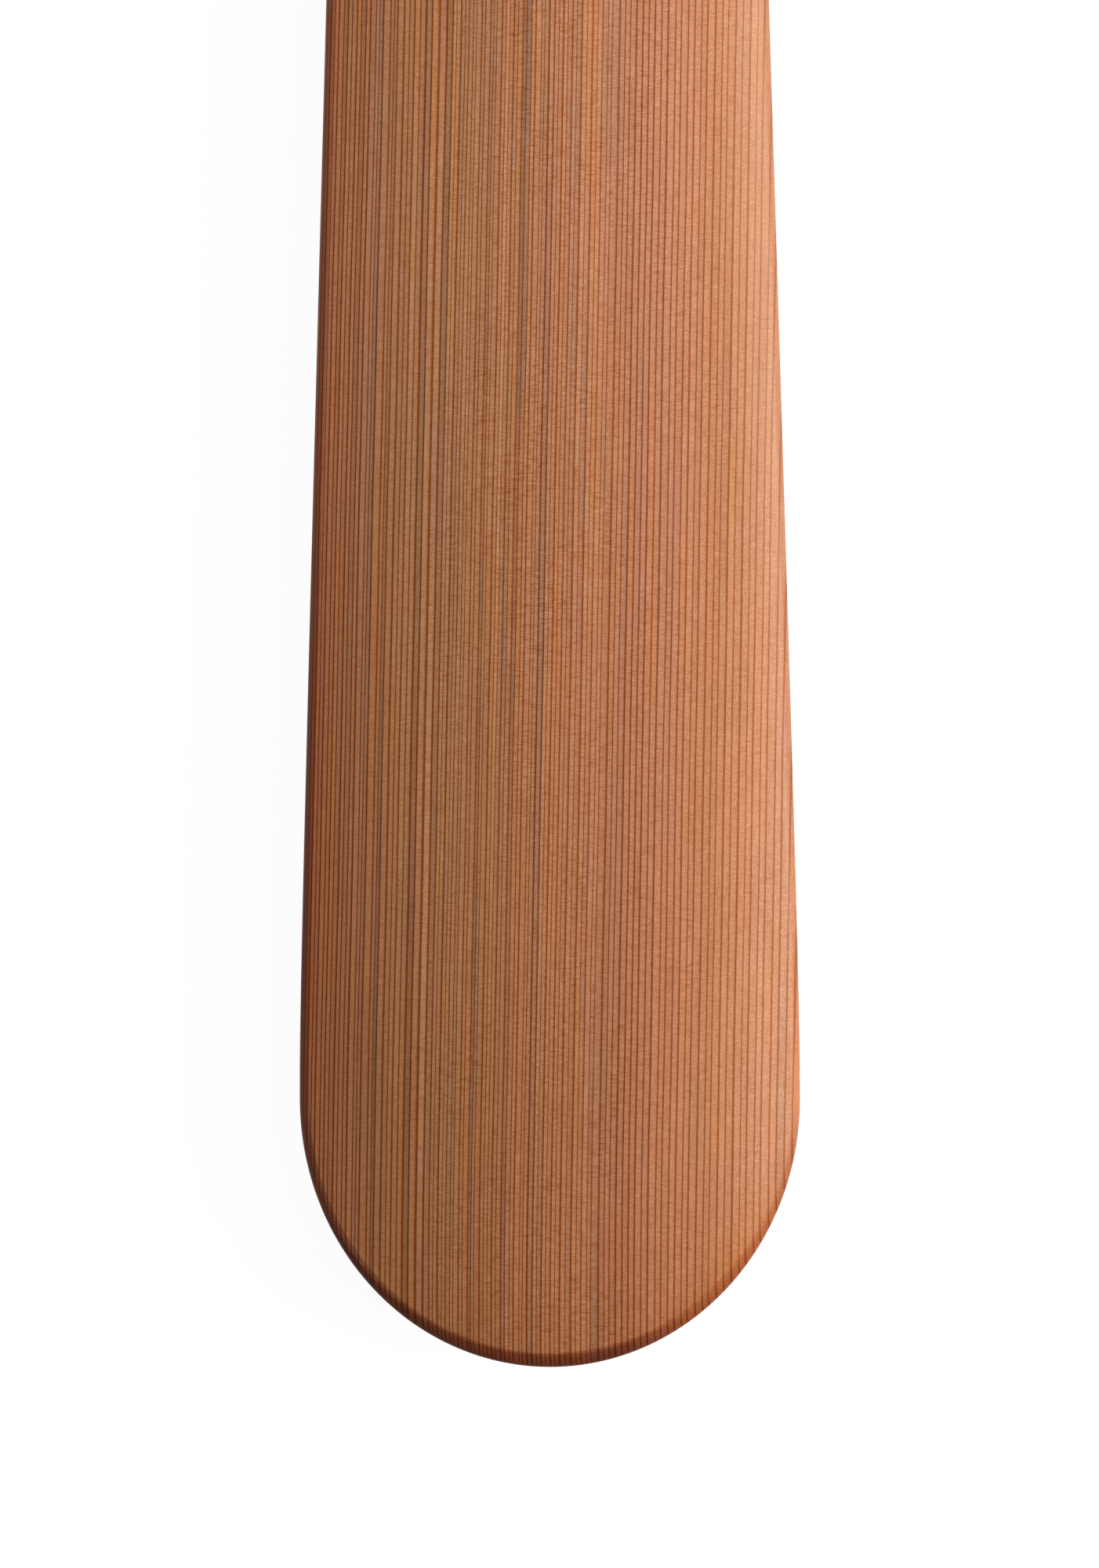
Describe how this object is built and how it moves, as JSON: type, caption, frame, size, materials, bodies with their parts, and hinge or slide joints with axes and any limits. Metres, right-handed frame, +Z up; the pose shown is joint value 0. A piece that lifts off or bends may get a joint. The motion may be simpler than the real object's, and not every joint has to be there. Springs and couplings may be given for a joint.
{
  "type": "greenland paddle",
  "caption": "Take-apart kayak paddle with long narrow wooden blades, a rounded loom and a sprung-button ferrule in the middle.",
  "frame": {"origin": "under the middle of the loom, where the two halves meet, at the height of the loom's level underside that the paddle lies on", "axes": "+X along the paddle towards the blade of the half that carries the spigot, +Y across the blades, +Z up through their thickness, towards the face with the snap button"},
  "size_m": [2.15, 0.089, 0.032],
  "materials": {
    "oiled_cedar": "oiled, satin",
    "carbon_fibre": "woven fibre in clear resin",
    "cork": "raw",
    "brass": "satin",
    "seal_rubber": "matt",
    "spring_steel": "polished"
  },
  "bodies": {
    "socket_half": {"left_blade_and_loom": "oiled_cedar", "left_loom_band": "carbon_fibre", "socket_tube": "carbon_fibre", "socket_plug": "cork", "button_bushing": "brass"},
    "spigot_half": {"right_blade_and_loom": "oiled_cedar", "right_loom_band": "carbon_fibre", "spigot_tube": "carbon_fibre", "spigot_tip_plug": "cork", "spigot_root_plug": "cork", "spigot_seal_ring": "seal_rubber", "button_spring": "spring_steel"},
    "snap_button": {"snap_button": "brass"}
  },
  "joints": [
    {"name": "ferrule_slide", "type": "slide", "parent": "socket_half", "child": "spigot_half", "axis": [1, 0, 0], "range_m": [0, 0.15]},
    {"name": "button_press", "type": "slide", "parent": "spigot_half", "child": "snap_button", "axis": [0, 0, -1], "range_m": [0, 0.005], "stiffness_N_per_m": 2000, "springref_m": -0.001, "deforming": ["button_spring"]}
  ]
}
